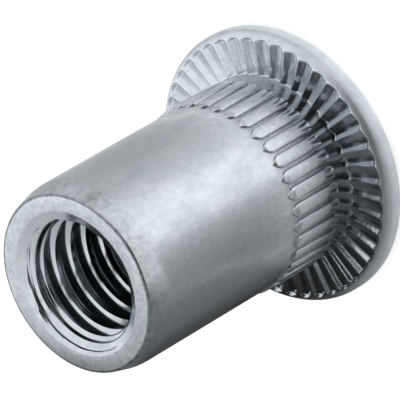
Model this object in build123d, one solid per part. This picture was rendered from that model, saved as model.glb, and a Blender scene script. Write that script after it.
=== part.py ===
"""Blind rivet nut, M8, with a flat round head, a knurled shank and ribs under the head.

One cold-formed piece of steel. It stands on the outer face of its head, which lies at
z = 0, and its shank rises along +Z to the threaded end. Lengths are in millimetres and
angles in degrees.
"""
from build123d import *

import os
from math import cos, radians, sin, tan

# Shank
shank_diameter = 11.0
overall_length = 18.0
end_taper_length = 1.22        # the lead-in at the threaded end
end_face_diameter = 10.36      # where the lead-in meets the end face
taper_blend_radius = 3.0       # softens the line where the lead-in leaves the shank
end_edge_chamfer = 0.08

# Head
head_diameter = 16.1
head_thickness = 1.5
head_inner_edge_radius = 0.6   # the rim's edge on the shank's side
head_outer_edge_radius = 0.5
neck_radius = 0.3              # the hollow between head and shank
quarter_circle_handle = 0.5523 # where a curve's handles lie when it follows a quarter circle

# Bore: a thread in the end away from the head, and a wider plain bore behind it
thread_minor_diameter = 6.78
thread_length = 9.0            # counted from the end face, countersink included
mouth_diameter = 8.44
countersink_half_angle = 45.0
plain_bore_diameter = 8.6
bore_shoulder_half_angle = 60.0
head_bore_chamfer = 0.2

# Knurl: straight ridges round the shank, each with a pointed tip and a rounded end
ridge_count = 36
ridge_height = 0.16
ridge_root_depth = 0.05        # how far a ridge's foot is sunk in the shank
ridge_foot_width = 0.80
ridge_top_width = 0.54
ridge_neck_gap = 0.90          # bare shank between the head and a ridge
ridge_length = 4.0
ridge_point_length = 0.62      # from a ridge's point to its full width
ridge_tip_slope_length = 0.52  # how far the slope at the point runs along the shank
ridge_end_slope_length = 0.38  # the same at the rounded end
ridge_end_facets = 5

# Ribs under the head, left standing between shallow pockets
pocket_count = 45
pocket_depth = 0.18
rib_foot_angle = 1.9           # what a rib takes up of the turn at its foot
pocket_neck_margin = 0.18      # from the shank to a pocket's inner end
pocket_rim_margin = 0.21       # from a pocket's arched end to the rim
pocket_arch_length = 0.45      # how far the arched end bulges
pocket_arch_tip_width = 0.40
pocket_wall_run = 0.06         # how far a wall leans outwards over the pocket's depth
cutter_rise = 0.08             # how far a cutter stands above the face that it cuts

# What follows from these
shank_radius = shank_diameter / 2
head_radius = head_diameter / 2
thread_minor_radius = thread_minor_diameter / 2
plain_bore_radius = plain_bore_diameter / 2
mouth_radius = mouth_diameter / 2


def corner_at(profile, radius_from_axis, height):
    """The profile's corner that lies nearest to the given place."""
    place = Vector(radius_from_axis, height)
    return min(profile.vertices(), key=lambda vertex: (vertex.center() - place).length)


def quarter_round(start, corner, end):
    """A curve from start to end that rounds the right angle at the corner."""
    first_handle = start + (corner - start) * quarter_circle_handle
    second_handle = end + (corner - end) * quarter_circle_handle
    return Bezier(start, first_handle, second_handle, end)


def rim_edge():
    """The rounded edge of the rim on the shank's side, drawn inwards."""
    corner = Vector(head_radius, head_thickness)
    start = corner - Vector(0, head_inner_edge_radius)
    return quarter_round(start, corner, corner - Vector(head_inner_edge_radius, 0))


def neck():
    """The hollow between the head and the shank, drawn inwards."""
    corner = Vector(shank_radius, head_thickness)
    start = corner + Vector(neck_radius, 0)
    return quarter_round(start, corner, corner + Vector(0, neck_radius))


def section_profile():
    """Half of the nut's section: X is the radius from the axis and Y the height."""
    end_face_radius = end_face_diameter / 2
    taper_start = overall_length - end_taper_length
    countersink_depth = (mouth_radius - thread_minor_radius) / tan(radians(countersink_half_angle))
    thread_start = overall_length - thread_length
    shoulder_run = (plain_bore_radius - thread_minor_radius) / tan(radians(bore_shoulder_half_angle))
    rim = rim_edge()
    hollow = neck()
    ribbed_face = Line(rim @ 1, hollow @ 0)
    remainder = Polyline(
        hollow @ 1,
        (shank_radius, taper_start),
        (end_face_radius, overall_length),
        (mouth_radius, overall_length),
        (thread_minor_radius, overall_length - countersink_depth),
        (thread_minor_radius, thread_start),
        (plain_bore_radius, thread_start - shoulder_run),
        (plain_bore_radius, head_bore_chamfer),
        (plain_bore_radius + head_bore_chamfer, 0),
        (head_radius, 0),
        rim @ 0,
    )
    profile = make_face(rim + ribbed_face + hollow + remainder)
    profile = fillet(corner_at(profile, head_radius, 0), head_outer_edge_radius)
    profile = fillet(corner_at(profile, shank_radius, taper_start), taper_blend_radius)
    return chamfer(corner_at(profile, end_face_radius, overall_length), end_edge_chamfer)


def turned_blank():
    """The nut before its knurl and its ribs are formed."""
    return revolve(Plane.XZ * section_profile(), Axis.Z)


def ridge_outline(width, low, shoulder, point):
    """One ridge seen from outside: X goes round the shank and Y along it."""
    half = width / 2
    rounded_end = []
    for step in range(ridge_end_facets + 1):
        turn = radians(180 * step / ridge_end_facets)
        rounded_end.append((half * cos(turn), low + half - half * sin(turn)))
    return make_face(Polyline((-half, shoulder), (0, point), (half, shoulder), *rounded_end, close=True))


def knurl_ridge():
    """One ridge of the knurl, on the side of +X, with sloping flanks, point and end."""
    low = head_thickness + ridge_neck_gap
    point = low + ridge_length
    shoulder = point - ridge_point_length
    foot = ridge_outline(ridge_foot_width, low, shoulder, point)
    top = ridge_outline(
        ridge_top_width,
        low + ridge_end_slope_length,
        shoulder - ridge_tip_slope_length / 2,
        point - ridge_tip_slope_length,
    )
    foot_plane = Plane((shank_radius - ridge_root_depth, 0, 0), x_dir=(0, 1, 0), z_dir=(1, 0, 0))
    top_plane = foot_plane.offset(ridge_root_depth + ridge_height)
    return loft([foot_plane * foot, top_plane * top], ruled=True)


def pocket_floor():
    """One pocket's floor seen along the axis: a wedge round +X with an arched outer end."""
    outer_radius = head_radius - pocket_rim_margin
    arch_foot_radius = outer_radius - pocket_arch_length
    inner_radius = shank_radius + pocket_neck_margin
    half_width_per_radius = tan(radians((360 / pocket_count - rib_foot_angle) / 2))
    inner_half = inner_radius * half_width_per_radius
    arch_foot_half = arch_foot_radius * half_width_per_radius
    arch_tip_half = pocket_arch_tip_width / 2
    return make_face(Polyline(
        (inner_radius, -inner_half),
        (inner_radius, inner_half),
        (arch_foot_radius, arch_foot_half),
        (outer_radius, arch_tip_half),
        (outer_radius, -arch_tip_half),
        (arch_foot_radius, -arch_foot_half),
        close=True,
    ))


def pocket_cutter():
    """What one pocket under the head takes away, on the side of +X."""
    floor = pocket_floor()
    cutter_height = pocket_depth + cutter_rise
    mouth = offset(floor, pocket_wall_run * cutter_height / pocket_depth, kind=Kind.INTERSECTION)
    floor_plane = Plane.XY.offset(head_thickness - pocket_depth)
    return loft([floor_plane * floor, floor_plane.offset(cutter_height) * mouth], ruled=True)


def around_axis(piece, count):
    """Copies of a piece, spread evenly round the nut's axis."""
    return [Rot(0, 0, 360 * index / count) * piece for index in range(count)]


def rivet_nut():
    """The finished nut: the blank with its knurl raised and its pockets pressed in."""
    knurled = turned_blank().fuse(*around_axis(knurl_ridge(), ridge_count))
    return knurled.cut(*around_axis(pocket_cutter(), pocket_count))


os.makedirs("parts", exist_ok=True)
export_step(rivet_nut(), "parts/rivet_nut.step")
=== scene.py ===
"""Looks of a blind rivet nut: its visible mesh, its steel, and a small studio set.

The nut is one cold-formed piece that stands on the outer face of its head, with its
shank along +Z. Its mesh is made in rings round the axis. What repeats round the axis, a
knurl ridge, a groove under the head or a slice of a turned surface, is modelled once and
repeated by Geometry Nodes; the thread is a Geometry Nodes surface of its own. The rings
share their edge points, so welding them gives one closed shell. Sizes are in millimetres
until a mesh is written, and meshes are in metres.
"""
from __future__ import annotations

import logging
import math
from dataclasses import dataclass, field
from enum import Enum

import bmesh
import bpy
from mathutils import Matrix, Vector


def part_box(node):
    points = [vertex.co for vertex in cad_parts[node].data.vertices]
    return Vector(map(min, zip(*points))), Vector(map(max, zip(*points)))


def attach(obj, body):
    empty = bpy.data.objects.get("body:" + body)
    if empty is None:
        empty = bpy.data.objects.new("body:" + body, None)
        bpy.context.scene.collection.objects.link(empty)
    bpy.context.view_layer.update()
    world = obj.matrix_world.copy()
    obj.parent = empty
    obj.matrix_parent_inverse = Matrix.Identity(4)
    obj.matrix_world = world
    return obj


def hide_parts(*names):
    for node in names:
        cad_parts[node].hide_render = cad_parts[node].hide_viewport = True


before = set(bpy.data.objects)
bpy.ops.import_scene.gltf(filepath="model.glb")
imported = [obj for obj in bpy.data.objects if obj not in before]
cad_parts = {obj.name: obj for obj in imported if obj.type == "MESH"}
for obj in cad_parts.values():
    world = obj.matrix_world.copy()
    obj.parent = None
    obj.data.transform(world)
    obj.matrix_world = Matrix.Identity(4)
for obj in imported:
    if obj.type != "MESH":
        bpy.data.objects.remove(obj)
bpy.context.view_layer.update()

MM = 0.001

# The steps round the nut's outside and its bore, and the slices of a plain turned ring.
FINE_STEPS = 720
BORE_STEPS = 144
PLAIN_SLICES = 36

# Points closer than this, in metres, are one point.
WELD_DISTANCE = 2e-7

# A row this far from an edge, in millimetres, lies just inside it.
HAIR = 0.001

# Sizes that the head and the shank share, in millimetres.
SHANK_RADIUS = 5.5
COLLAR_HEIGHT = 1.95

# The side from which the camera looks, in degrees round the axis.
CAMERA_AZIMUTH = -71.42

log = logging.getLogger("rivet_nut")

Row = list[Vector]
Section = list[tuple[float, float]]
Span = tuple[float, float]
Stops = tuple[Span, ...]


def hex_to_linear(colour: str) -> tuple[float, float, float, float]:
    """Turns an sRGB hex colour into linear light.

    Args:
        colour: Six hex digits after a hash sign.

    Returns:
        Red, green, blue and an alpha of 1.
    """
    channels = []
    for start in (1, 3, 5):
        level = int(colour[start:start + 2], 16) / 255
        low = level / 12.92
        high = ((level + 0.055) / 1.055) ** 2.4
        channels.append(low if level <= 0.04045 else high)
    return (channels[0], channels[1], channels[2], 1.0)


def add_node(
    tree: bpy.types.NodeTree,
    kind: str,
    settings: dict[str, object] | None = None,
    inputs: dict[int | str, object] | None = None,
) -> bpy.types.Node:
    """Adds a node to a tree, with its settings and its inputs.

    Args:
        tree: The node tree that gets the node.
        kind: The node's type name.
        settings: Properties of the node and their values.
        inputs: Input sockets by index or name, each with a value or a socket to link.

    Returns:
        The new node.
    """
    node = tree.nodes.new(kind)
    for name, value in (settings or {}).items():
        setattr(node, name, value)
    for key, value in (inputs or {}).items():
        if isinstance(value, bpy.types.NodeSocket):
            tree.links.new(value, node.inputs[key])
        else:
            node.inputs[key].default_value = value
    return node


def add_object(name: str, data: bpy.types.ID) -> bpy.types.Object:
    """Adds an object to the scene.

    Args:
        name: The object's name.
        data: Its mesh, lamp or camera.

    Returns:
        The new object.
    """
    thing = bpy.data.objects.new(name, data)
    bpy.context.scene.collection.objects.link(thing)
    return thing


def polar(radius: float, angle: float, height: float) -> Vector:
    """A point in millimetres from its radius, its angle in radians and its height."""
    return Vector((radius * math.cos(angle), radius * math.sin(angle), height))


def arc(centre: tuple[float, float], radius: float, start: float, end: float, steps: int) -> Section:
    """Points on an arc of a section, from start to end in degrees, ends included.

    Args:
        centre: The arc's centre, as distance from the axis and height.
        radius: The arc's radius.
        start: The angle of the first point.
        end: The angle of the last point.
        steps: How many steps the arc has.

    Returns:
        The points, as distances from the axis and heights.
    """
    points = []
    for step in range(steps + 1):
        angle = math.radians(start + (end - start) * step / steps)
        points.append((centre[0] + radius * math.cos(angle), centre[1] + radius * math.sin(angle)))
    return points


def smooth_minimum(first: float, second: float, softness: float) -> float:
    """The smaller of two values, with the change-over rounded off."""
    blend = max(softness - abs(first - second), 0.0) / softness
    return min(first, second) - blend * blend * softness / 4


def fade(start: float, end: float, place: float) -> float:
    """A soft step from 0 at the start to 1 at the end."""
    share = min(max((place - start) / (end - start), 0.0), 1.0)
    return share * share * (3 - 2 * share)


def read_stops(stops: Stops, place: float) -> float:
    """The level at a place between stops.

    Args:
        stops: Places in rising order, each with its level.
        place: Where to read; beyond the last stop on a side, that stop's level holds.

    Returns:
        The level, in a straight line from stop to stop.
    """
    if place <= stops[0][0]:
        return stops[0][1]
    for (start, first), (end, second) in zip(stops, stops[1:]):
        if place <= end:
            return first + (second - first) * (place - start) / (end - start)
    return stops[-1][1]


@dataclass
class Slice:
    """The mesh of one slice of a ring, grown row by row; a row runs round the axis."""

    points: list[Vector] = field(default_factory=list)
    faces: list[list[int]] = field(default_factory=list)
    last_row: range | None = None

    def add_row(self, row: Row) -> None:
        """Adds a row of points and joins it to the row before.

        Args:
            row: The points in millimetres. Their number may differ from the last
                row's, if the one's steps are a multiple of the other's.
        """
        start = len(self.points)
        self.points.extend(row)
        new_row = range(start, start + len(row))
        if self.last_row is not None:
            self._join(self.last_row, new_row)
        self.last_row = new_row

    def _join(self, old: range, new: range) -> None:
        """Fills the band between two rows, one face for each step of the coarser row.

        Args:
            old: The points of the row before, by number.
            new: The points of the new row, by number.
        """
        steps = min(len(old), len(new)) - 1
        old_share = (len(old) - 1) // steps
        new_share = (len(new) - 1) // steps
        for step in range(steps):
            lower = [old[index] for index in range(step * old_share, (step + 1) * old_share + 1)]
            upper = [new[index] for index in range(step * new_share, (step + 1) * new_share + 1)]
            self.faces.append(lower + upper[::-1])

    def mesh(self, name: str) -> bpy.types.Mesh:
        """The slice as a mesh in metres.

        Args:
            name: The mesh's name.

        Returns:
            The mesh.
        """
        mesh = bpy.data.meshes.new(name)
        mesh.from_pydata([point * MM for point in self.points], [], self.faces)
        return mesh


def even_angles(slices: int, steps_round: int) -> list[float]:
    """Evenly spaced angles across a slice that is centred on +X.

    Args:
        slices: How many slices make the ring.
        steps_round: How many steps the whole ring has.

    Returns:
        The angles in radians.
    """
    width = 2 * math.pi / slices
    steps = steps_round // slices
    return [width * (step / steps - 0.5) for step in range(steps + 1)]


def turned_slice(section: Section, steps_round: int = FINE_STEPS) -> Slice:
    """One slice of a surface turned from a section.

    Args:
        section: The section's points.
        steps_round: How many steps the whole ring has.

    Returns:
        The slice, of which PLAIN_SLICES make the ring.
    """
    piece = Slice()
    for radius, height in section:
        piece.add_row([polar(radius, angle, height) for angle in even_angles(PLAIN_SLICES, steps_round)])
    return piece


def flat_slice(inner_radius: float, outer_radius: float, height: float) -> Slice:
    """One slice of a flat ring between the bore and the outside, which differ in steps.

    Args:
        inner_radius: Radius of the ring's inner edge, on the bore.
        outer_radius: Radius of the ring's outer edge.
        height: The ring's height.

    Returns:
        The slice, of which PLAIN_SLICES make the ring.
    """
    piece = Slice()
    for radius, steps in ((inner_radius, BORE_STEPS), (outer_radius, FINE_STEPS)):
        piece.add_row([polar(radius, angle, height) for angle in even_angles(PLAIN_SLICES, steps)])
    return piece


def evaluated_mesh(holder: bpy.types.Object) -> bpy.types.Mesh:
    """Turns an object into a plain mesh, with its modifiers applied, and removes it.

    Args:
        holder: The object; its name goes to the mesh.

    Returns:
        The mesh.
    """
    depsgraph = bpy.context.evaluated_depsgraph_get()
    mesh = bpy.data.meshes.new_from_object(holder.evaluated_get(depsgraph))
    mesh.name = holder.name
    bpy.data.objects.remove(holder)
    return mesh


class RingArray:
    """A Geometry Nodes tree that repeats a slice round the axis and welds the copies."""

    def __init__(self, steel: bpy.types.Material) -> None:
        """Builds the tree.

        Args:
            steel: What the copies are made of.
        """
        tree = bpy.data.node_groups.new("ring_array", "GeometryNodeTree")
        sockets = tree.interface
        sockets.new_socket("Geometry", in_out="INPUT", socket_type="NodeSocketGeometry")
        self.copies = sockets.new_socket("Copies", in_out="INPUT", socket_type="NodeSocketInt")
        self.material = sockets.new_socket("Material", in_out="INPUT", socket_type="NodeSocketMaterial")
        sockets.new_socket("Geometry", in_out="OUTPUT", socket_type="NodeSocketGeometry")
        source = add_node(tree, "NodeGroupInput")
        places = add_node(tree, "GeometryNodePoints", {}, {"Count": source.outputs["Copies"]})
        step = add_node(
            tree, "ShaderNodeMath", {"operation": "DIVIDE"}, {0: 2 * math.pi, 1: source.outputs["Copies"]}
        )
        number = add_node(tree, "GeometryNodeInputIndex")
        turn = add_node(
            tree, "ShaderNodeMath", {"operation": "MULTIPLY"}, {0: number.outputs[0], 1: step.outputs[0]}
        )
        rotation = add_node(tree, "ShaderNodeCombineXYZ", {}, {"Z": turn.outputs[0]})
        copies = add_node(tree, "GeometryNodeInstanceOnPoints", {}, {
            "Points": places.outputs[0],
            "Instance": source.outputs["Geometry"],
            "Rotation": rotation.outputs[0],
        })
        real = add_node(tree, "GeometryNodeRealizeInstances", {}, {0: copies.outputs[0]})
        welded = add_node(
            tree, "GeometryNodeMergeByDistance", {}, {"Geometry": real.outputs[0], "Distance": WELD_DISTANCE}
        )
        dressed = add_node(tree, "GeometryNodeSetMaterial", {}, {
            "Geometry": welded.outputs[0],
            "Material": source.outputs["Material"],
        })
        add_node(tree, "NodeGroupOutput", {}, {0: dressed.outputs[0]})
        self.tree = tree
        self.steel = steel

    def ring(self, piece: Slice, copies: int, name: str) -> bpy.types.Mesh:
        """Repeats a slice round the axis.

        Args:
            piece: The slice.
            copies: How many make the ring.
            name: The name of the ring's mesh.

        Returns:
            The ring's mesh.
        """
        holder = add_object(name, piece.mesh(name))
        modifier = holder.modifiers.new("ring", "NODES")
        modifier.node_group = self.tree
        modifier[self.copies.identifier] = copies
        modifier[self.material.identifier] = self.steel
        return evaluated_mesh(holder)


@dataclass
class RibbedHead:
    """The flat round head: its rim, and the ribbed face towards the shank.

    A groove has a steep and a gentle flank, which meet the next grooves' flanks in narrow
    crests. It ends in a small scallop at the neck and runs out towards the rim.
    """

    radius: float
    thickness: float = 1.5
    outer_edge_radius: float = 0.5
    inner_edge_radius: float = 0.6
    neck_radius: float = 0.3
    shank_radius: float = SHANK_RADIUS
    collar_height: float = COLLAR_HEIGHT
    grooves: int = 45
    valley_start: float = math.radians(-1.8)
    valley_end: float = math.radians(0.35)
    valley_softness: float = 0.3
    flank_softness: float = 0.05
    edge_softness: float = 0.03
    steep_slope: float = math.tan(math.radians(36))
    least_scallop: float = 0.05
    scallop_growth: float = 0.06
    run_out_radius: float = 7.6
    run_out_slope: float = 1.2

    # Where the grooved band begins on the rim's inner rounding, in degrees.
    band_start: float = 36.0

    # The mesh's rows on the flat face, by radius, closer towards the rim and the neck.
    flat_radii: tuple[float, ...] = (7.38, 7.30, 7.20, 7.00, 6.70, 6.40, 6.10, 5.95, 5.87)

    # The mesh's columns across a groove, in degrees, closer at the crests and the bottom.
    columns: tuple[float, ...] = (
        -4.0, -3.88, -3.5, -2.9, -2.4, -2.1, -1.8, -1.5, -1.0, -0.3, 0.2, 0.5, 1.0, 2.0, 3.1, 3.88, 4.0,
    )

    @property
    def inner_edge_centre(self) -> tuple[float, float]:
        """Where the rounding of the rim's inner edge has its centre."""
        return (self.radius - self.inner_edge_radius, self.thickness - self.inner_edge_radius)

    def rim_section(self) -> Section:
        """The rim from the outer face to where the grooved band begins.

        Returns:
            The section's points.
        """
        edge = self.outer_edge_radius
        outer = arc((self.radius - edge, edge), edge, start=-90, end=0, steps=7)
        inner = arc(self.inner_edge_centre, self.inner_edge_radius, start=0, end=self.band_start, steps=4)
        return outer + inner

    def grooved_band_section(self) -> Section:
        """The section before it is grooved: the rounded edge, the flat face and the neck.

        Returns:
            The section's points.
        """
        edge = arc(self.inner_edge_centre, self.inner_edge_radius, start=self.band_start, end=90, steps=9)
        flat = [(radius, self.thickness) for radius in self.flat_radii]
        neck_centre = (self.shank_radius + self.neck_radius, self.thickness + self.neck_radius)
        neck = arc(neck_centre, self.neck_radius, start=270, end=180, steps=8)
        return edge + flat + neck + [(self.shank_radius, self.collar_height)]

    def groove_depth(self, radius: float) -> float:
        """How deep a groove's bottom lies under the face; both flanks keep their slope."""
        return radius * (self.valley_start + math.pi / self.grooves) * self.steep_slope

    def groove_height(self, radius: float, angle: float) -> float:
        """The height of the grooved face.

        Args:
            radius: Distance from the axis.
            angle: Angle from the middle between two crests, in radians.

        Returns:
            The height of the groove's flank or rounded bottom.
        """
        limit = math.pi / self.grooves
        steep = (angle + limit) / (self.valley_start + limit)
        gentle = (limit - angle) / (limit - self.valley_end)
        share = smooth_minimum(steep, 1.0, self.valley_softness)
        share = smooth_minimum(share, gentle, self.flank_softness)
        run_out = self.run_out_slope * max(radius - self.run_out_radius, 0.0)
        height = self.thickness - self.groove_depth(radius) * share + run_out
        scallop = self.least_scallop + self.scallop_growth * max(min(steep, gentle), 0.0)
        inwards = self.shank_radius + scallop - radius
        if inwards > 0:
            height += scallop - math.sqrt(max(scallop * scallop - inwards * inwards, 0.0))
        return height

    def groove_slice(self) -> Slice:
        """One groove, from crest to crest.

        Returns:
            The slice, of which there are as many as grooves.
        """
        piece = Slice()
        section = self.grooved_band_section()
        even = even_angles(self.grooves, FINE_STEPS)
        for number, (radius, height) in enumerate(section):
            if number in (0, len(section) - 1):
                piece.add_row([polar(radius, angle, height) for angle in even])
                continue
            row = []
            for angle in map(math.radians, self.columns):
                cut = height
                if radius > self.shank_radius + HAIR:
                    cut = smooth_minimum(height, self.groove_height(radius, angle), self.edge_softness)
                row.append(polar(radius, angle, cut))
            piece.add_row(row)
        return piece

    def rings(self, array: RingArray) -> list[bpy.types.Mesh]:
        """The head's meshes, from its outer face to the shank.

        Args:
            array: What repeats the slices.

        Returns:
            The meshes.
        """
        return [
            array.ring(turned_slice(self.rim_section()), PLAIN_SLICES, "rim"),
            array.ring(self.groove_slice(), self.grooves, "grooved_face"),
        ]


@dataclass
class KnurledShank:
    """The shank: straight ridges with a pointed tip, the plain part and the lead-in.

    A ridge's foot is half round at its low end and a pointed arch at its point. The fields
    low and point are the heights of these two ends above the head's outer face.
    """

    radius: float = SHANK_RADIUS
    collar_height: float = COLLAR_HEIGHT
    overall_length: float = 18.0
    ridges: int = 36
    ridge_height: float = 0.17
    crown: float = 0.06
    foot_half_width: float = 0.40
    flank_run: float = 0.07
    low: float = 2.4
    point: float = 6.4
    point_length: float = 0.62
    arch_power: float = 1.8
    tip_slope_length: float = 0.52
    end_slope_length: float = 0.38
    softness: float = 0.06
    taper_length: float = 1.22
    taper_blend_radius: float = 3.0
    end_face_radius: float = 5.18
    end_edge_radius: float = 0.12

    # How far the ridges' ring reaches past both of their ends, and one more row before each.
    margin: float = 0.16
    low_gap: float = 0.08
    point_gap: float = 0.06

    # The mesh's rows above a ridge's low end and below its arch, and the arch's steps.
    low_rows: tuple[float, ...] = (HAIR, 0.02, 0.05, 0.09, 0.14, 0.20, 0.28, 0.38, 0.52, 1.0, 1.8, 2.6)
    rows_before_arch: tuple[float, ...] = (0.3, 0.1)
    arch_steps: int = 14

    # The mesh's columns: shares of a ridge's top and of its flank, and the step past its foot.
    top_shares: tuple[float, ...] = (0.0, 0.25, 0.5, 0.75, 1.0)
    flank_shares: tuple[float, ...] = (0.66, 0.33, 0.0)
    least_foot: float = 0.05
    least_top_share: float = 0.4
    beyond_foot: float = 0.03
    beyond_foot_share: float = 0.3

    def foot_half_width_at(self, height: float) -> float:
        """Half the width of a ridge's foot.

        Args:
            height: Height above the head's outer face.

        Returns:
            The half width, which is not above 0 beyond the ridge's ends.
        """
        full = self.foot_half_width
        if height > self.point - self.point_length:
            along = 1 - (self.point - height) / self.point_length
            return full * (1 - max(along, 0.0) ** self.arch_power)
        below = self.low + full - height
        if below > 0:
            return math.sqrt(max(full * full - below * below, 0.0))
        return full

    def relief(self, across: float, height: float) -> float:
        """How far a ridge stands out of the shank.

        Args:
            across: Distance from the ridge's middle line, round the shank.
            height: Height above the head's outer face.

        Returns:
            The relief in millimetres.
        """
        if not self.low < height < self.point:
            return 0.0
        flank = (self.foot_half_width_at(height) - abs(across)) * self.ridge_height / self.flank_run
        top = self.ridge_height - self.crown * (across / self.foot_half_width) ** 2
        lowest = smooth_minimum(flank, top, self.softness)
        for run, length in (
            (self.point - height, self.tip_slope_length),
            (height - self.low, self.end_slope_length),
        ):
            if run < length:
                rise = self.ridge_height * math.sin(run / length * math.pi / 2)
                lowest = smooth_minimum(lowest, rise, self.softness)
        return max(lowest, 0.0)

    def columns(self, height: float) -> list[float]:
        """Where a row's points lie round the shank, gathered along a ridge's flanks.

        Args:
            height: The row's height.

        Returns:
            Distances from the ridge's middle line, from one valley's middle to the next.
        """
        limit = math.pi * self.radius / self.ridges
        foot = max(self.foot_half_width_at(height), self.least_foot)
        top = max(foot - self.flank_run, self.least_top_share * foot)
        half = [share * top for share in self.top_shares]
        half += [foot + (top - foot) * share for share in self.flank_shares]
        beyond = foot + min(self.beyond_foot, (limit - foot) * self.beyond_foot_share)
        half += [beyond, (beyond + limit) / 2, limit]
        return [-place for place in reversed(half[1:])] + half

    def ridge_slice(self) -> Slice:
        """One ridge with half a valley on each side.

        Returns:
            The slice, of which there are as many as ridges.
        """
        arch_foot = self.point - self.point_length
        heights = [self.low - self.low_gap]
        heights += [self.low + step for step in self.low_rows]
        heights += [arch_foot - step for step in self.rows_before_arch]
        heights += [arch_foot + self.point_length * step / self.arch_steps for step in range(self.arch_steps)]
        heights += [self.point - HAIR, self.point + self.point_gap]
        piece = Slice()
        even = even_angles(self.ridges, FINE_STEPS)
        piece.add_row([polar(self.radius, angle, self.low - self.margin) for angle in even])
        for height in heights:
            row = []
            for across in self.columns(height):
                reach = self.radius + self.relief(across, height)
                row.append(polar(reach, across / self.radius, height))
            piece.add_row(row)
        piece.add_row([polar(self.radius, angle, self.point + self.margin) for angle in even])
        return piece

    def lead_in_section(self) -> Section:
        """The plain shank and the lead-in, up to the end face.

        Returns:
            The section's points.
        """
        taper_start = self.overall_length - self.taper_length
        lean = math.degrees(math.atan2(self.radius - self.end_face_radius, self.taper_length))
        blend_reach = self.taper_blend_radius * math.tan(math.radians(lean / 2))
        blend_centre = (self.radius - self.taper_blend_radius, taper_start - blend_reach)
        blend = arc(blend_centre, self.taper_blend_radius, start=0, end=lean, steps=6)
        edge = self.end_edge_radius
        edge_turn = math.radians((90 - lean) / 2)
        edge_centre = (self.end_face_radius - edge * math.tan(edge_turn), self.overall_length - edge)
        rounding = arc(edge_centre, edge, start=lean, end=90, steps=6)
        return [(self.radius, self.point + self.margin)] + blend + rounding

    def rings(self, array: RingArray) -> list[bpy.types.Mesh]:
        """The shank's meshes, from the head to the end face.

        Args:
            array: What repeats the slices.

        Returns:
            The meshes.
        """
        collar = [(self.radius, self.collar_height), (self.radius, self.low - self.margin)]
        return [
            array.ring(turned_slice(collar), PLAIN_SLICES, "collar"),
            array.ring(self.ridge_slice(), self.ridges, "knurl"),
            array.ring(turned_slice(self.lead_in_section()), PLAIN_SLICES, "lead_in"),
        ]


# The threaded wall's shape, step by step. A step has its outcome's name, its operation and
# what goes in: a number, one of the tree's named sizes or the outcome of a step before it.
# A point's place in the unit grid is across and upwards, each from -0.5 to 0.5.
WALL_STEPS: tuple[tuple[str | float, ...], ...] = (
    # The grid's points, one more than its steps each way.
    ("grid columns", "ADD", "Columns", 1.0),
    ("grid rows", "ADD", "Rows", 1.0),
    # A row climbs with the thread by one pitch a turn, held between the wall's two ends.
    ("turns", "ADD", "across", 0.5),
    ("climb", "ADD", "upwards", 0.5),
    ("rows up", "MULTIPLY", "climb", "Rows"),
    ("turns up", "DIVIDE", "rows up", "Rows a Turn"),
    ("row start", "ADD", "First Row", "turns up"),
    ("turn reached", "ADD", "row start", "turns"),
    ("free height", "MULTIPLY", "turn reached", "Pitch"),
    ("height from low", "MAXIMUM", "free height", "Low"),
    ("height", "MINIMUM", "height from low", "Top"),
    # How far a point lies above or below the nearest crest.
    ("pitches up", "DIVIDE", "height", "Pitch"),
    ("lead", "SUBTRACT", "pitches up", "turns"),
    ("half a turn on", "ADD", "lead", 0.5),
    ("turns from crest", "SUBTRACT", "half a turn on", "Crest Phase"),
    ("phase", "FRACT", "turns from crest"),
    ("centred phase", "SUBTRACT", "phase", 0.5),
    ("above crest", "MULTIPLY", "centred phase", "Pitch"),
    ("off crest", "ABSOLUTE", "above crest"),
    # The groove's flanks on both sides of the crest's flat.
    ("off flat", "SUBTRACT", "off crest", "Crest Half Width"),
    ("beyond flat", "MAXIMUM", "off flat", 0.0),
    ("flank", "MULTIPLY", "beyond flat", "Flank Slope"),
    ("groove", "ADD", "Minor Radius", "flank"),
    # The crest's upper side steps back by the lip's depth, and further towards the mouth.
    ("past start", "SUBTRACT", "height", "Run Out Start"),
    ("run out length", "MAXIMUM", "past start", 0.0),
    ("run out", "MULTIPLY", "run out length", "Run Out Slope"),
    ("free depth", "ADD", "Lip Depth", "run out"),
    ("depth", "MINIMUM", "free depth", "Run Out Depth"),
    ("above lip", "ADD", "above crest", "Lip"),
    ("free step", "MULTIPLY", "above lip", "Flank Slope"),
    ("step from zero", "MAXIMUM", "free step", 0.0),
    ("step", "MINIMUM", "step from zero", "depth"),
    ("crest", "ADD", "Minor Radius", "step"),
    ("open thread", "MAXIMUM", "groove", "crest"),
    ("thread", "MINIMUM", "open thread", "Major Radius"),
    # The countersunk mouth above the thread and the shoulder below it.
    ("below top", "SUBTRACT", "Top", "height"),
    ("cone", "MULTIPLY", "below top", "Mouth Slope"),
    ("mouth", "SUBTRACT", "Mouth Radius", "cone"),
    ("past thread", "SUBTRACT", "Thread End", "height"),
    ("shoulder run", "MULTIPLY", "past thread", "Shoulder Slope"),
    ("free shoulder", "ADD", "Minor Radius", "shoulder run"),
    ("shoulder", "MINIMUM", "free shoulder", "Plain Radius"),
    ("thread and mouth", "MAXIMUM", "thread", "mouth"),
    ("wall", "MAXIMUM", "thread and mouth", "shoulder"),
    # Where the point comes to lie.
    ("angle", "MULTIPLY", "turns", 2 * math.pi),
    ("cosine", "COSINE", "angle"),
    ("sine", "SINE", "angle"),
    ("x", "MULTIPLY", "wall", "cosine"),
    ("y", "MULTIPLY", "wall", "sine"),
)


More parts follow.
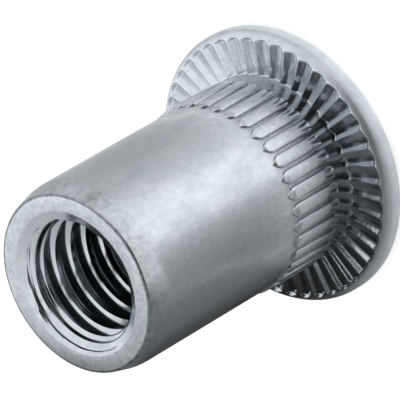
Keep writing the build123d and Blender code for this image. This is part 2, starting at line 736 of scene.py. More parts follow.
@dataclass
class ThreadedBore:
    """The through bore: countersunk mouth, right-hand thread, plain bore and chamfer."""

    top: float = 18.0
    minor_radius: float = 3.39
    major_radius: float = 4.0
    mouth_radius: float = 4.22
    plain_radius: float = 4.3
    chamfer: float = 0.2
    pitch: float = 1.25
    thread_end: float = 9.0
    crest_half_width: float = 0.1945
    crest_phase: float = 0.279
    flank_slope: float = math.tan(math.radians(60))
    shoulder_slope: float = math.tan(math.radians(60))
    mouth_slope: float = math.tan(math.radians(60))
    lip: float = 0.1
    lip_depth: float = 0.012
    run_out_start: float = 16.35
    run_out_slope: float = 0.28
    run_out_depth: float = 0.24

    # The mesh's rows on the threaded wall and on the plain wall.
    rows_a_turn: int = 26
    plain_rows: tuple[float, ...] = (3.0, 6.0)

    @property
    def low(self) -> float:
        """Where the shoulder below the thread meets the plain bore."""
        return self.thread_end - (self.plain_radius - self.minor_radius) / self.shoulder_slope

    @property
    def first_row(self) -> float:
        """The lowest row of the wall's mesh, in turns; a row follows the crest's upper edge."""
        crest_edge = self.crest_phase + self.crest_half_width / self.pitch
        return crest_edge + math.floor(self.low / self.pitch - 1 - crest_edge)

    @property
    def rows(self) -> int:
        """How many rows reach from below the thread's lowest turn to above its mouth."""
        return math.ceil((self.top / self.pitch - self.first_row) * self.rows_a_turn)

    @property
    def wall_sizes(self) -> dict[str, int | float]:
        """The named inputs of the threaded wall's tree, with their values.

        Returns:
            Whole numbers for counts and millimetres or slopes for the rest.
        """
        return {
            "Columns": BORE_STEPS,
            "Rows": self.rows,
            "Rows a Turn": self.rows_a_turn,
            "First Row": self.first_row,
            "Top": self.top,
            "Low": self.low,
            "Minor Radius": self.minor_radius,
            "Major Radius": self.major_radius,
            "Mouth Radius": self.mouth_radius,
            "Mouth Slope": self.mouth_slope,
            "Plain Radius": self.plain_radius,
            "Shoulder Slope": self.shoulder_slope,
            "Pitch": self.pitch,
            "Thread End": self.thread_end,
            "Crest Half Width": self.crest_half_width,
            "Crest Phase": self.crest_phase,
            "Flank Slope": self.flank_slope,
            "Lip": self.lip,
            "Lip Depth": self.lip_depth,
            "Run Out Start": self.run_out_start,
            "Run Out Slope": self.run_out_slope,
            "Run Out Depth": self.run_out_depth,
        }

    def thread_tree(self) -> bpy.types.GeometryNodeTree:
        """Builds the Geometry Nodes tree of the threaded wall, with its sizes as inputs.

        Returns:
            The tree.
        """
        tree = bpy.data.node_groups.new("threaded_wall", "GeometryNodeTree")
        tree.interface.new_socket("Geometry", in_out="INPUT", socket_type="NodeSocketGeometry")
        for name, value in self.wall_sizes.items():
            kind = "NodeSocketInt" if isinstance(value, int) else "NodeSocketFloat"
            tree.interface.new_socket(name, in_out="INPUT", socket_type=kind)
        tree.interface.new_socket("Material", in_out="INPUT", socket_type="NodeSocketMaterial")
        tree.interface.new_socket("Geometry", in_out="OUTPUT", socket_type="NodeSocketGeometry")
        known = {socket.name: socket for socket in add_node(tree, "NodeGroupInput").outputs}
        place = add_node(tree, "GeometryNodeInputPosition")
        parts = add_node(tree, "ShaderNodeSeparateXYZ", {}, {0: place.outputs[0]})
        known["across"] = parts.outputs["X"]
        known["upwards"] = parts.outputs["Y"]
        for name, operation, *values in WALL_STEPS:
            inputs = {number: known.get(value, value) for number, value in enumerate(values)}
            known[name] = add_node(tree, "ShaderNodeMath", {"operation": operation}, inputs).outputs[0]
        grid = add_node(tree, "GeometryNodeMeshGrid", {}, {
            "Size X": 1.0,
            "Size Y": 1.0,
            "Vertices X": known["grid columns"],
            "Vertices Y": known["grid rows"],
        })
        target = add_node(tree, "ShaderNodeCombineXYZ", {}, {
            "X": known["x"], "Y": known["y"], "Z": known["height"],
        })
        scaled = add_node(
            tree, "ShaderNodeVectorMath", {"operation": "SCALE"}, {0: target.outputs[0], "Scale": MM}
        )
        bent = add_node(tree, "GeometryNodeSetPosition", {}, {
            "Geometry": grid.outputs["Mesh"], "Position": scaled.outputs[0],
        })
        welded = add_node(
            tree, "GeometryNodeMergeByDistance", {}, {"Geometry": bent.outputs[0], "Distance": WELD_DISTANCE}
        )
        real = add_node(tree, "GeometryNodeRealizeInstances", {}, {0: welded.outputs[0]})
        dressed = add_node(tree, "GeometryNodeSetMaterial", {}, {
            "Geometry": real.outputs[0], "Material": known["Material"],
        })
        add_node(tree, "NodeGroupOutput", {}, {0: dressed.outputs[0]})
        return tree

    def threaded_wall(self, steel: bpy.types.Material) -> bpy.types.Mesh:
        """Builds the threaded wall with the mouth above it and the shoulder below it.

        Args:
            steel: What the wall is made of.

        Returns:
            The wall's mesh.
        """
        values = {**self.wall_sizes, "Material": steel}
        holder = add_object("threaded_wall", bpy.data.meshes.new("threaded_wall"))
        modifier = holder.modifiers.new("thread", "NODES")
        modifier.node_group = self.thread_tree()
        for socket in modifier.node_group.interface.items_tree:
            if socket.in_out == "INPUT" and socket.name in values:
                modifier[socket.identifier] = values[socket.name]
        return evaluated_mesh(holder)

    def rings(self, array: RingArray) -> list[bpy.types.Mesh]:
        """The bore's meshes, from the outer face of the head to the mouth.

        Args:
            array: What repeats the slices.

        Returns:
            The meshes.
        """
        plain = [(self.plain_radius + self.chamfer, 0.0)]
        plain += [(self.plain_radius, height) for height in (self.chamfer, *self.plain_rows, self.low)]
        return [
            array.ring(turned_slice(plain, BORE_STEPS), PLAIN_SLICES, "plain_bore"),
            self.threaded_wall(array.steel),
        ]


class Measure(Enum):
    """What a zone of the nut's surface is measured by."""

    AXIS = "distance from the axis"
    HEIGHT = "height above the head's outer face"
    EDGE = "distance from the ring where the end face rounds off"


class Zone(Enum):
    """A zone of the nut's surface: its measure, and where it goes from none to full, in mm."""

    OUTSIDE_BORE = (Measure.AXIS, 4.1, 4.4)
    ABOVE_KNURL = (Measure.HEIGHT, 3.0, 6.5)
    RIDGE_TOPS = (Measure.AXIS, 5.58, 5.64)
    ABOVE_COLLAR = (Measure.HEIGHT, 3.4, 4.2)
    RIM = (Measure.AXIS, 7.68, 7.76)
    # Where painted shade darkens the colour: the knurl's valleys below the ridges' tips, the ribbed face
    # inside the rim, the bottoms of its grooves, and the end face's rounded edge.
    KNURL_VALLEYS = (Measure.AXIS, 5.58, 5.51)
    BELOW_TIPS = (Measure.HEIGHT, 6.5, 5.7)
    RIBBED_FACE = (Measure.HEIGHT, 1.62, 1.52)
    INSIDE_RIM = (Measure.AXIS, 7.6, 7.45)
    GROOVES = (Measure.HEIGHT, 1.35, 1.3)
    END_EDGE = (Measure.EDGE, 0.1, 0.04)
    LEAD_IN = (Measure.HEIGHT, 16.4, 16.9)
    END_FACE = (Measure.HEIGHT, 17.97, 17.99)


Sockets = dict[Enum, bpy.types.NodeSocket]


@dataclass(frozen=True)
class Noise:
    """A cloudy pattern: its size in millimetres, its finer layers, and how strong those are."""

    size: float
    detail: float
    roughness: float


@dataclass(frozen=True)
class ZincPlatedSteel:
    """Cold-formed steel with a clear zinc plating.

    To the eye it is a cool light grey metal, satin on the formed surfaces, with a faint
    cloudiness from the plating, fine turning marks on the faced end, and a smooth bright
    thread. Painted shade darkens its colour in the knurl's valleys, on the ribbed face and
    its grooves, on the end face's rounded edge and in the bore.
    """

    name: str = "zinc_plated_steel_cold_formed"
    colour: str = "#F0F3F5"
    cloud_colour: str = "#BFC9D0"
    # The third colour is painted shade, where shade falls in the recesses and the bore, and also the colour
    # of the spots.
    painted_shade_and_spot_colour: str = "#5C6266"

    # How much of the painted shade and spot colour each place takes on: painted shade in the knurl's valleys,
    # on the ribbed face and its grooves, on the end face's rounded edge and in the bore, and the mottles as
    # spots.
    valley_shade: float = 0.45
    rib_shade: float = 0.05
    groove_shade: float = 0.4
    bore_shade: float = 0.1
    edge_shade: float = 0.7
    mottle_shade: float = 0.32
    shank_mottling: float = 0.4
    edge_radius: float = 5.12

    # Surfaces pressed in a die or cut are smoother than the plain shank; the rim is duller.
    roughness: float = 0.3
    roughness_spread: float = 0.08
    cloud_span: Span = (0.3, 0.7)
    thread_roughness: float = 0.12
    die_roughness: float = 0.16
    ridge_roughness: float = 0.26
    rim_roughness: float = 0.45

    # The plating clouds over about a millimetre, and handling leaves spots of under half
    # of one. The steel's grain is really about 0.05 mm and is drawn coarser so that it shows.
    clouds: Noise = Noise(size=1.1, detail=5.0, roughness=0.65)
    mottles: Noise = Noise(size=0.4, detail=4.0, roughness=0.7)
    mottle_span: Span = (0.42, 0.68)
    grain: Noise = Noise(size=0.2, detail=3.0, roughness=0.6)
    grain_depth: float = 0.011

    # Forming the shank stretches clouds and grain along it, to their size over this.
    streak: float = 0.45

    # The facing tool advances by this a turn, and its marks are under a micrometre deep.
    turning_spacing: float = 0.11
    turning_depth: float = 0.0006

    def material(self) -> bpy.types.Material:
        """Builds the node material.

        Returns:
            The material.
        """
        material = bpy.data.materials.new(self.name)
        material.use_nodes = True
        tree = material.node_tree
        shader = tree.nodes["Principled BSDF"]
        shader.inputs["Metallic"].default_value = 1.0
        place = add_node(tree, "ShaderNodeTexCoord").outputs["Object"]
        drawn = add_node(tree, "ShaderNodeVectorMath", {"operation": "MULTIPLY"}, {
            0: place, 1: (1.0, 1.0, self.streak),
        }).outputs[0]
        clouds, mottles, grain = (
            add_node(tree, "ShaderNodeTexNoise", {}, {
                "Vector": vector, "Scale": 1 / (noise.size * MM), "Detail": noise.detail,
                "Roughness": noise.roughness,
            }).outputs["Fac"]
            for noise, vector in ((self.clouds, drawn), (self.mottles, place), (self.grain, drawn))
        )
        measures = self._measures(tree, place)
        zones = self._zones(tree, measures)
        tree.links.new(self._roughness(tree, zones, clouds), shader.inputs["Roughness"])
        tree.links.new(self._colour(tree, zones, clouds, mottles), shader.inputs["Base Color"])
        tree.links.new(self._relief(tree, zones, measures, grain), shader.inputs["Normal"])
        return material

    def _measures(self, tree: bpy.types.NodeTree, place: bpy.types.NodeSocket) -> Sockets:
        """Adds the nodes that measure a place on the nut.

        Args:
            tree: The material's tree.
            place: The place, in Object coordinates.

        Returns:
            A socket for each measure, in metres.
        """
        parts = add_node(tree, "ShaderNodeSeparateXYZ", {}, {0: place}).outputs
        flat_place = add_node(tree, "ShaderNodeCombineXYZ", {}, {"X": parts["X"], "Y": parts["Y"]})
        from_axis = add_node(
            tree, "ShaderNodeVectorMath", {"operation": "LENGTH"}, {0: flat_place.outputs[0]}
        ).outputs["Value"]
        past_edge = add_node(
            tree, "ShaderNodeMath", {"operation": "SUBTRACT"}, {0: from_axis, 1: self.edge_radius * MM}
        )
        off_edge = add_node(tree, "ShaderNodeMath", {"operation": "ABSOLUTE"}, {0: past_edge.outputs[0]})
        return {Measure.AXIS: from_axis, Measure.HEIGHT: parts["Z"], Measure.EDGE: off_edge.outputs[0]}

    def _zones(self, tree: bpy.types.NodeTree, measures: Sockets) -> Sockets:
        """Adds a node for each zone of the surface.

        Args:
            tree: The material's tree.
            measures: The measures' sockets.

        Returns:
            A socket for each zone: 1 inside it and 0 outside, but the painted shade of the
            ribbed face and its grooves for GROOVES, and the strength of the mottling for LEAD_IN.
        """
        levels = {
            Zone.GROOVES: (self.rib_shade, self.groove_shade),
            Zone.LEAD_IN: (self.shank_mottling, 1.0),
        }
        zones = {}
        for zone in Zone:
            measure, start, end = zone.value
            outside, inside = levels.get(zone, (0.0, 1.0))
            zones[zone] = add_node(tree, "ShaderNodeMapRange", {}, {
                "Value": measures[measure], "From Min": start * MM, "From Max": end * MM,
                "To Min": outside, "To Max": inside,
            }).outputs[0]
        return zones

    def _roughness(
        self, tree: bpy.types.NodeTree, zones: Sockets, clouds: bpy.types.NodeSocket
    ) -> bpy.types.NodeSocket:
        """Adds the nodes of the roughness, which differs from zone to zone.

        Args:
            tree: The material's tree.
            zones: The zones' sockets.
            clouds: The pattern of the plating.

        Returns:
            The roughness.
        """
        patchy = add_node(tree, "ShaderNodeMapRange", {}, {
            "Value": clouds, "From Min": self.cloud_span[0], "From Max": self.cloud_span[1],
            "To Min": self.roughness - self.roughness_spread,
            "To Max": self.roughness + self.roughness_spread,
        }).outputs[0]
        formed = add_node(tree, "ShaderNodeMix", {"data_type": "FLOAT"}, {
            "Factor": zones[Zone.ABOVE_KNURL], 2: self.die_roughness, 3: patchy,
        }).outputs[0]
        on_ridge = add_node(tree, "ShaderNodeMath", {"operation": "MULTIPLY"}, {
            0: zones[Zone.RIDGE_TOPS], 1: zones[Zone.ABOVE_COLLAR],
        }).outputs[0]
        outside = formed
        for share, level in ((on_ridge, self.ridge_roughness), (zones[Zone.RIM], self.rim_roughness)):
            outside = add_node(tree, "ShaderNodeMix", {"data_type": "FLOAT"}, {
                "Factor": share, 2: outside, 3: level,
            }).outputs[0]
        return add_node(tree, "ShaderNodeMix", {"data_type": "FLOAT"}, {
            "Factor": zones[Zone.OUTSIDE_BORE], 2: self.thread_roughness, 3: outside,
        }).outputs[0]

    def _colour(
        self,
        tree: bpy.types.NodeTree,
        zones: Sockets,
        clouds: bpy.types.NodeSocket,
        mottles: bpy.types.NodeSocket,
    ) -> bpy.types.NodeSocket:
        """Adds the nodes of the colour: cloudy plating with spots, and painted shade in the recesses, on the
        end face's rounded edge and in the bore.

        Args:
            tree: The material's tree.
            zones: The zones' sockets.
            clouds: The pattern of the plating.
            mottles: The pattern of the spots.

        Returns:
            The colour.
        """
        tint = add_node(tree, "ShaderNodeMix", {"data_type": "RGBA"}, {
            "Factor": clouds, 6: hex_to_linear(self.colour), 7: hex_to_linear(self.cloud_colour),
        }).outputs[2]
        # Painted shade in the knurl's valleys below the ridges' tips, and on the ribbed face under the head,
        # darkest in its grooves' bottoms.
        in_valley, on_rib = (
            add_node(tree, "ShaderNodeMath", {"operation": "MULTIPLY"}, {
                0: zones[first], 1: zones[second],
            }).outputs[0]
            for first, second in ((Zone.KNURL_VALLEYS, Zone.BELOW_TIPS), (Zone.RIBBED_FACE, Zone.INSIDE_RIM))
        )
        mottled = add_node(tree, "ShaderNodeMapRange", {}, {
            "Value": mottles, "From Min": self.mottle_span[0], "From Max": self.mottle_span[1],
            "To Max": self.mottle_shade,
        }).outputs[0]
        # Painted shade: a dark line on the end face's rounded edge, with the spots added to it.
        on_end = add_node(tree, "ShaderNodeMath", {"operation": "MULTIPLY_ADD"}, {
            0: zones[Zone.END_EDGE], 1: self.edge_shade, 2: mottled,
        }).outputs[0]
        shade: float | bpy.types.NodeSocket = 0.0
        for share, level in (
            (in_valley, self.valley_shade), (on_rib, zones[Zone.GROOVES]), (on_end, zones[Zone.LEAD_IN]),
        ):
            shade = add_node(tree, "ShaderNodeMath", {"operation": "MULTIPLY_ADD"}, {
                0: share, 1: level, 2: shade,
            }).outputs[0]
        # Painted shade in the bore: it takes this even share of the shade colour instead.
        shade = add_node(tree, "ShaderNodeMix", {"data_type": "FLOAT"}, {
            "Factor": zones[Zone.OUTSIDE_BORE], 2: self.bore_shade, 3: shade,
        }).outputs[0]
        return add_node(tree, "ShaderNodeMix", {"data_type": "RGBA"}, {
            "Factor": shade, 6: tint, 7: hex_to_linear(self.painted_shade_and_spot_colour),
        }).outputs[2]

    def _relief(
        self, tree: bpy.types.NodeTree, zones: Sockets, measures: Sockets, grain: bpy.types.NodeSocket
    ) -> bpy.types.NodeSocket:
        """Adds the nodes of the fine relief: the steel's grain, and rings on the end face.

        Args:
            tree: The material's tree.
            zones: The zones' sockets.
            measures: The measures' sockets.
            grain: The pattern of the grain.

        Returns:
            The surface's direction.
        """
        grain_bump = add_node(tree, "ShaderNodeBump", {}, {
            "Strength": zones[Zone.OUTSIDE_BORE], "Distance": self.grain_depth * MM, "Height": grain,
        })
        turns = add_node(tree, "ShaderNodeMath", {"operation": "MULTIPLY"}, {
            0: measures[Measure.AXIS], 1: 2 * math.pi / (self.turning_spacing * MM),
        })
        rings = add_node(tree, "ShaderNodeMath", {"operation": "SINE"}, {0: turns.outputs[0]})
        return add_node(tree, "ShaderNodeBump", {}, {
            "Strength": zones[Zone.END_FACE],
            "Distance": self.turning_depth * MM,
            "Height": rings.outputs[0],
            "Normal": grain_bump.outputs[0],
        }).outputs[0]


@dataclass
class RivetNut:
    """The whole nut: one closed shell made from the rings of its parts."""

    node: str = "rivet_nut"
    finish: ZincPlatedSteel = field(default_factory=ZincPlatedSteel)
    crease_angle: float = math.radians(50)

    def build(self) -> bpy.types.Object:
        """Builds the nut's mesh and puts it in place of its CAD node.

        Returns:
            The finished object.
        """
        low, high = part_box(self.node)
        head = RibbedHead(radius=(high.x - low.x) / 2 / MM)
        shank = KnurledShank(overall_length=high.z / MM)
        bore = ThreadedBore(top=high.z / MM)
        array = RingArray(self.finish.material())
        meshes = head.rings(array) + shank.rings(array) + bore.rings(array)
        end_face = flat_slice(bore.mouth_radius, shank.lead_in_section()[-1][0], shank.overall_length)
        outer_face = flat_slice(bore.plain_radius + bore.chamfer, head.radius - head.outer_edge_radius, 0.0)
        meshes.append(array.ring(end_face, PLAIN_SLICES, "end_face"))
        meshes.append(array.ring(outer_face, PLAIN_SLICES, "outer_face"))
        nut = add_object("rivet_nut_body", self._weld(meshes, array.steel))
        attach(nut, "root")
        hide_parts(self.node)
        return nut

    def _weld(self, meshes: list[bpy.types.Mesh], steel: bpy.types.Material) -> bpy.types.Mesh:
        """Joins the rings into one closed shell with its faces turned outwards.

        Args:
            meshes: The rings' meshes, which are then removed.
            steel: What the shell is made of.

        Returns:
            The shell's mesh.
        """
        shell = bmesh.new()
        for mesh in meshes:
            shell.from_mesh(mesh)
            bpy.data.meshes.remove(mesh)
        bmesh.ops.remove_doubles(shell, verts=shell.verts, dist=WELD_DISTANCE)
        bmesh.ops.recalc_face_normals(shell, faces=shell.faces)
        log.info("open edges: %d", sum(1 for edge in shell.edges if not edge.is_manifold))
        for face in shell.faces:
            face.smooth = True
            face.material_index = 0
        for edge in shell.edges:
            if len(edge.link_faces) == 2 and edge.calc_face_angle(0.0) > self.crease_angle:
                edge.smooth = False
        mesh = bpy.data.meshes.new("rivet_nut_body")
        shell.to_mesh(mesh)
        shell.free()
        mesh.materials.clear()
        mesh.materials.append(steel)
        return mesh


class Tone(Enum):
    """How light a part of the set looks in a reflection; 1 is white."""

    BLACK = 0.05
    LAMP = 1.15


@dataclass
class Board:
    """A staged surface that glows with its own soft tones of painted light and shade, seen only in
    reflections.
    """

    name: str
    points: list[Row]
    tones: list[list[float]]
    closed: bool = False
    colour: str = "#FCFEFF"

    def build(self, placing: Matrix) -> bpy.types.Object:
        """Adds the board.

        Args:
            placing: Where it stands; its points are in millimetres.

        Returns:
            The board's object.
        """
        columns = len(self.points[0])
        faces = []
        for row in range(len(self.points) - 1):
            for column in range(columns if self.closed else columns - 1):
                beside = (column + 1) % columns
                lower = row * columns
                upper = lower + columns
                faces.append((lower + column, lower + beside, upper + beside, upper + column))
        mesh = bpy.data.meshes.new(self.name)
        mesh.from_pydata([placing @ (point * MM) for row in self.points for point in row], [], faces)
        tone = mesh.attributes.new("tone", "FLOAT", "POINT")
        for number, level in enumerate(level for row in self.tones for level in row):
            tone.data[number].value = level
        mesh.materials.append(self.paper())
        board = add_object(self.name, mesh)
        board.visible_camera = False
        board.visible_diffuse = False
        board.visible_shadow = False
        return board

    def paper(self) -> bpy.types.Material:
        """Builds the board's paper, which glows with painted light and shade: an even patch of light with
        soft steps in a reflection.

        Returns:
            The material, which glows by the mesh's tones.
        """
        material = bpy.data.materials.new(f"{self.name}_paper")
        material.use_nodes = True
        tree = material.node_tree
        tree.nodes.remove(tree.nodes["Principled BSDF"])
        level = add_node(tree, "ShaderNodeAttribute", {"attribute_name": "tone"})
        glow = add_node(tree, "ShaderNodeEmission", {}, {
            "Color": hex_to_linear(self.colour), "Strength": level.outputs["Fac"],
        })
        tree.links.new(glow.outputs[0], tree.nodes["Material Output"].inputs["Surface"])
        return material


@dataclass
class FloorPaper:
    """Paper on the floor that glows with painted light and shade, toned by where the shank mirrors it to the
    camera.

    A row is what one height of the shank mirrors, at each turn round it in degrees. The
    view drops by view_drop for each millimetre that it runs outwards.
    """

    shank_radius: float = SHANK_RADIUS
    lift: float = 0.06
    view_drop: float = 0.894
    first_height: float = 1.0
    last_height: float = 320.0
    growth: float = 1.25
    turns: range = range(-66, 96, 2)
    far_heights: Span = (16.0, 42.0)
    near_tones: Stops = (
        (-60, 0.2), (-34, 0.21), (-26, 0.26), (-18, 0.33), (-10, 0.45), (-5, 0.8), (0, 1.15), (12, 1.2),
        (17, 1.18), (23, 0.9), (30, 0.7), (40, 0.58), (48, 0.5), (56, 0.47), (72, 0.52), (84, 0.7),
        (95, 0.75),
    )
    far_tones: Stops = (
        (-60, 0.2), (-36, 0.3), (-28, 0.4), (-21, 0.58), (-14, 0.8), (-5, 0.82), (6, 1.05), (14, 1.1),
        (22, 0.98), (30, 0.82), (35, 0.3), (39, 0.35), (43, 0.78), (56, 0.55), (72, 0.52), (84, 0.6),
        (95, 0.7),
    )

    def board(self) -> Board:
        """Lays out the paper.

        Returns:
            The board.
        """
        points: list[Row] = []
        tones: list[list[float]] = []
        far_start, far_end = map(math.log, self.far_heights)
        height = self.first_height
        while height < self.last_height:
            far = fade(far_start, far_end, math.log(height))
            row = []
            levels = []
            for degrees in self.turns:
                turn = math.radians(degrees)
                foot = polar(self.shank_radius, turn, self.lift)
                row.append(foot + polar(height / self.view_drop, 2 * turn, 0.0))
                near_tone = read_stops(self.near_tones, degrees)
                far_tone = read_stops(self.far_tones, degrees)
                levels.append(near_tone * (1 - far) + far_tone * far)
            points.append(row)
            tones.append(levels)
            height *= self.growth
        return Board("floor_paper", points, tones)


@dataclass
class RimPaper:
    """A ring of paper round the foot of the nut, which the rim mirrors; it glows with painted light, and
    painted shade in a band from 9.4 to 10 mm and towards -100 degrees.

    Its rows are radii, each with a share of the tone that goes round the ring.
    """

    lift: float = 0.12
    step: int = 5
    rows: Stops = ((8.0, 1.0), (9.1, 1.0), (9.4, 0.2), (10.0, 0.2), (10.3, 1.0), (12.5, 1.0))
    tones: Stops = (
        (-100, 0.2), (-80, 0.38), (-60, 0.58), (-30, 0.72), (-5, 1.02), (20, 1.15), (50, 1.05), (100, 0.85),
    )

    def board(self) -> Board:
        """Lays out the ring.

        Returns:
            The board.
        """
        points: list[Row] = []
        tones: list[list[float]] = []
        turns = range(-180, 181, self.step)
        for radius, share in self.rows:
            points.append([polar(radius, math.radians(degrees), self.lift) for degrees in turns])
            tones.append([read_stops(self.tones, degrees) * share for degrees in turns])
        return Board("rim_paper", points, tones)


@dataclass
class BoreShadeDisc:
    """A black disc of painted shade under the bore: a bore seen from its mouth is dark inside."""

    radius: float = SHANK_RADIUS
    lift: float = 0.03
    step: int = 15

    def board(self) -> Board:
        """Lays out the disc.

        Returns:
            The board.
        """
        edge = [polar(self.radius, math.radians(degrees), self.lift) for degrees in range(0, 360, self.step)]
        middle = [Vector((0, 0, self.lift))] * len(edge)
        return Board("bore_painted_shade", [edge, middle], [[0.0] * len(edge)] * 2, closed=True)


@dataclass
class LightTent:
    """A soft tent: a bright top, bright sides and back, and a dark opening for the camera.

    The opening widens higher up, and the top is one even lamp; both change with elevation.
    """

    radius: float = 700.0
    elevation_step: int = 3
    azimuth_step: int = 5
    widening: float = 25.0
    widening_band: Span = (60.0, 72.0)
    top_band: Span = (71.0, 78.0)
    sky_tones: Stops = (
        (0, 0.01), (14, 0.02), (24, 0.16), (34, 0.6), (46, 1.0), (80, 1.0), (98, 1.05), (150, 0.9),
        (180, 0.85),
    )

    def board(self) -> Board:
        """Lays out the tent.

        Returns:
            The board.
        """
        points: list[Row] = []
        tones: list[list[float]] = []
        azimuths = range(0, 360, self.azimuth_step)
        for elevation in range(0, 90, self.elevation_step):
            reach = math.cos(math.radians(elevation)) * self.radius
            height = math.sin(math.radians(elevation)) * self.radius
            points.append([polar(reach, math.radians(azimuth), height) for azimuth in azimuths])
            wider = self.widening * fade(*self.widening_band, elevation)
            top = fade(*self.top_band, elevation)
            sides = [min(azimuth, 360 - azimuth) - wider for azimuth in azimuths]
            around = [read_stops(self.sky_tones, side) for side in sides]
            tones.append([level * (1 - top) + Tone.LAMP.value * top for level in around])
        points.append([Vector((0, 0, self.radius))] * len(azimuths))
        tones.append([Tone.LAMP.value] * len(azimuths))
        return Board("light_tent", points, tones, closed=True)


@dataclass
class SideBoard:
    """A white board that stands close beside the nut, with the nut's shadow painted on it.

    The painted shadow ends beside the nut and above it, painted light from the floor
    brightens its foot, and the upper corner beyond the nut stays dark.
    """

    foot: tuple[float, float, float] = (-4.6, -6.82, 0.0)
    across: tuple[float, float, float] = (0.829, -0.559, 0.0)
    upwards: tuple[float, float, float] = (0.0883, 0.131, 0.987)
    columns: tuple[float, ...] = (
        -400.0, -200.0, -100.0, -60.0, -40.0, -30.0, -22.0, -16.0, -12.0, -9.0, -7.0, -5.0, -4.0, -3.0, -2.0,
        -1.0, 1.0, 3.0, 4.5, 6.0, 8.0, 11.0, 13.5, 16.0, 20.0, 40.0, 65.0, 130.0, 200.0, 400.0,
    )
    rows: tuple[float, ...] = (
        0.2, 1.5, 3.0, 4.0, 6.0, 9.0, 12.0, 14.0, 15.5, 17.0, 19.0, 21.0, 23.0, 26.0, 30.0, 40.0, 60.0,
        120.0, 400.0,
    )
    shade_tones: Stops = (
        (-1, 0.01), (3, 0.035), (4.5, 0.08), (6, 0.15), (12.6, 0.21), (20, 0.33), (65, 0.57), (200, 0.8),
    )
    shade_side: float = -1.0
    shade_top: float = 16.2
    shade_softness: float = 8.0
    open_tone: float = 1.1
    foot_tone: float = 0.45
    foot_light_across: Span = (2.0, 8.0)
    foot_light_up: Span = (1.0, 3.5)
    dark_corner_across: Span = (11.0, 16.0)
    dark_corner_up: Span = (14.0, 17.0)

    def tone(self, along: float, up: float) -> float:
        """How light the board is at a place.

        Args:
            along: Distance along the board from its foot.
            up: Distance up the board from its foot.

        Returns:
            The tone.
        """
        outside = math.hypot(max(self.shade_side - along, 0.0), max(up - self.shade_top, 0.0))
        open_tone = self.open_tone * (1 - math.exp(-outside / self.shade_softness))
        foot_light = fade(*self.foot_light_across, along) * (1 - fade(*self.foot_light_up, up))
        foot_tone = self.foot_tone * foot_light
        level = max(read_stops(self.shade_tones, along), open_tone, foot_tone)
        dark = fade(*self.dark_corner_up, up) * fade(*self.dark_corner_across, along)
        return level * (1 - dark) + Tone.BLACK.value * dark

    def board(self) -> Board:
        """Lays out the board.

        Returns:
            The board.
        """
        foot, across, upwards = map(Vector, (self.foot, self.across, self.upwards))
        points = [[foot + across * along + upwards * up for along in self.columns] for up in self.rows]
        tones = [[self.tone(along, up) for along in self.columns] for up in self.rows]
        return Board("side_board", points, tones)


@dataclass
class Floor:
    """A pale floor, white to the camera, to glossy and to transmitted rays."""

    size: float = 4000.0
    colour: str = "#BCBCBC"
    roughness: float = 0.9
    glow: float = 0.7

    def build(self) -> bpy.types.Object:
        """Adds the floor.

        Returns:
            The floor's object.
        """
        half = self.size / 2 * MM
        corners = [(-half, -half, 0), (half, -half, 0), (half, half, 0), (-half, half, 0)]
        mesh = bpy.data.meshes.new("floor")
        mesh.from_pydata(corners, [], [(0, 1, 2, 3)])
        mesh.materials.append(self.paint())
        floor = add_object("floor", mesh)
        return floor

    def paint(self) -> bpy.types.Material:
        """Builds the floor's matt paint, which shows no shine and keeps the nut's shadow.

        Returns:
            The material.
        """
        material = bpy.data.materials.new("pale_painted_floor")
        material.use_nodes = True
        tree = material.node_tree
        shader = tree.nodes["Principled BSDF"]
        shader.inputs["Base Color"].default_value = hex_to_linear(self.colour)
        shader.inputs["Roughness"].default_value = self.roughness
        shader.inputs["Specular IOR Level"].default_value = 0.0
        shader.inputs["Emission Color"].default_value = hex_to_linear("#FFFFFF")
        rays = add_node(tree, "ShaderNodeLightPath").outputs
        straight = add_node(tree, "ShaderNodeMath", {"operation": "ADD"}, {
            0: rays["Is Camera Ray"], 1: rays["Is Glossy Ray"],
        })
        seen = add_node(tree, "ShaderNodeMath", {"operation": "ADD", "use_clamp": True}, {
            0: straight.outputs[0], 1: rays["Is Transmission Ray"],
        })
        lift = add_node(
            tree, "ShaderNodeMath", {"operation": "MULTIPLY"}, {0: seen.outputs[0], 1: self.glow}
        )
        tree.links.new(lift.outputs[0], shader.inputs["Emission Strength"])
        return material


@dataclass
class Softbox:
    """A soft square lamp that looks at the nut and lights the floor; no reflection shows it."""

    name: str = "overhead_softbox"
    place: tuple[float, float, float] = (-1.0, 0.0, 600.0)
    aim_height: float = 9.0
    size: float = 1400.0
    radiance: float = 1.1

    def build(self, placing: Matrix) -> bpy.types.Object:
        """Adds the lamp.

        Args:
            placing: How the set is turned; the lamp's place is in millimetres.

        Returns:
            The lamp's object.
        """
        light = bpy.data.lights.new(self.name, "AREA")
        light.shape = "RECTANGLE"
        light.size = self.size * MM
        light.size_y = self.size * MM
        light.energy = self.radiance * math.pi * light.size * light.size_y
        lamp = add_object(self.name, light)
        spot = placing @ (Vector(self.place) * MM)
        aim = Vector((0, 0, self.aim_height * MM))
        turn = (spot - aim).to_track_quat("Z", "Y").to_matrix().to_4x4()
        lamp.matrix_world = Matrix.Translation(spot) @ turn
        lamp.visible_glossy = False
        return lamp


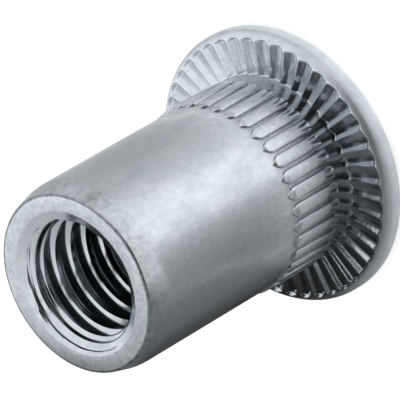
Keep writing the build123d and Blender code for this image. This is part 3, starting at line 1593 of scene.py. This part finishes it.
@dataclass
class Studio:
    """A plain pale floor, soft light, and boards with painted light and shade that only reflections see.

    The lamp and the boards are laid out in a frame whose +X points to the camera's side.
    """

    camera_azimuth: float = CAMERA_AZIMUTH
    surroundings_colour: str = "#F3F9FF"
    surroundings_strength: float = 0.1

    def surroundings(self) -> None:
        """Sets up plain dim surroundings."""
        world = bpy.data.worlds.new("studio")
        world.use_nodes = True
        background = world.node_tree.nodes["Background"]
        background.inputs["Color"].default_value = hex_to_linear(self.surroundings_colour)
        background.inputs["Strength"].default_value = self.surroundings_strength
        bpy.context.scene.world = world

    def build(self) -> list[bpy.types.Object]:
        """Sets up the floor, the surroundings, the lamp and the boards.

        Returns:
            The studio's objects.
        """
        placing = Matrix.Rotation(math.radians(self.camera_azimuth), 4, "Z")
        self.surroundings()
        things = [Floor().build(), Softbox().build(placing)]
        for prop in (FloorPaper(), RimPaper(), BoreShadeDisc(), LightTent(), SideBoard()):
            things.append(prop.board().build(placing))
        return things


@dataclass
class Camera:
    """The camera, placed by the direction it looks from."""

    azimuth: float = CAMERA_AZIMUTH
    elevation: float = 41.781
    roll: float = -120.314
    distance: float = 352.92
    aim: tuple[float, float, float] = (0.765, -0.644, 8.044)
    focal_length: float = 585.0
    sensor_width: float = 36.0
    clip_start: float = 10.0

    def build(self) -> bpy.types.Object:
        """Adds the camera and makes it the scene's.

        Returns:
            The camera's object.
        """
        data = bpy.data.cameras.new("camera")
        data.lens = self.focal_length
        data.sensor_width = self.sensor_width
        data.clip_start = self.clip_start * MM
        azimuth = math.radians(self.azimuth)
        elevation = math.radians(self.elevation)
        back = Vector((
            math.cos(elevation) * math.cos(azimuth),
            math.cos(elevation) * math.sin(azimuth),
            math.sin(elevation),
        ))
        look = back.to_track_quat("Z", "Y").to_matrix().to_4x4()
        turn = look @ Matrix.Rotation(math.radians(self.roll), 4, "Z")
        place = (Vector(self.aim) + back * self.distance) * MM
        camera = add_object("camera", data)
        camera.matrix_world = Matrix.Translation(place) @ turn
        bpy.context.scene.camera = camera
        return camera


def main() -> None:
    """Builds the nut, the studio and the camera, and reports each piece."""
    logging.basicConfig(level=logging.INFO, format="%(name)s: %(message)s")
    nut = RivetNut().build()
    log.info("%s: %d points, %d faces", nut.name, len(nut.data.vertices), len(nut.data.polygons))
    for thing in Studio().build():
        log.info("%s: in place", thing.name)
    log.info("%s: in place", Camera().build().name)
    bpy.context.scene.view_settings.view_transform = "Standard"


if __name__ == "__main__":
    main()
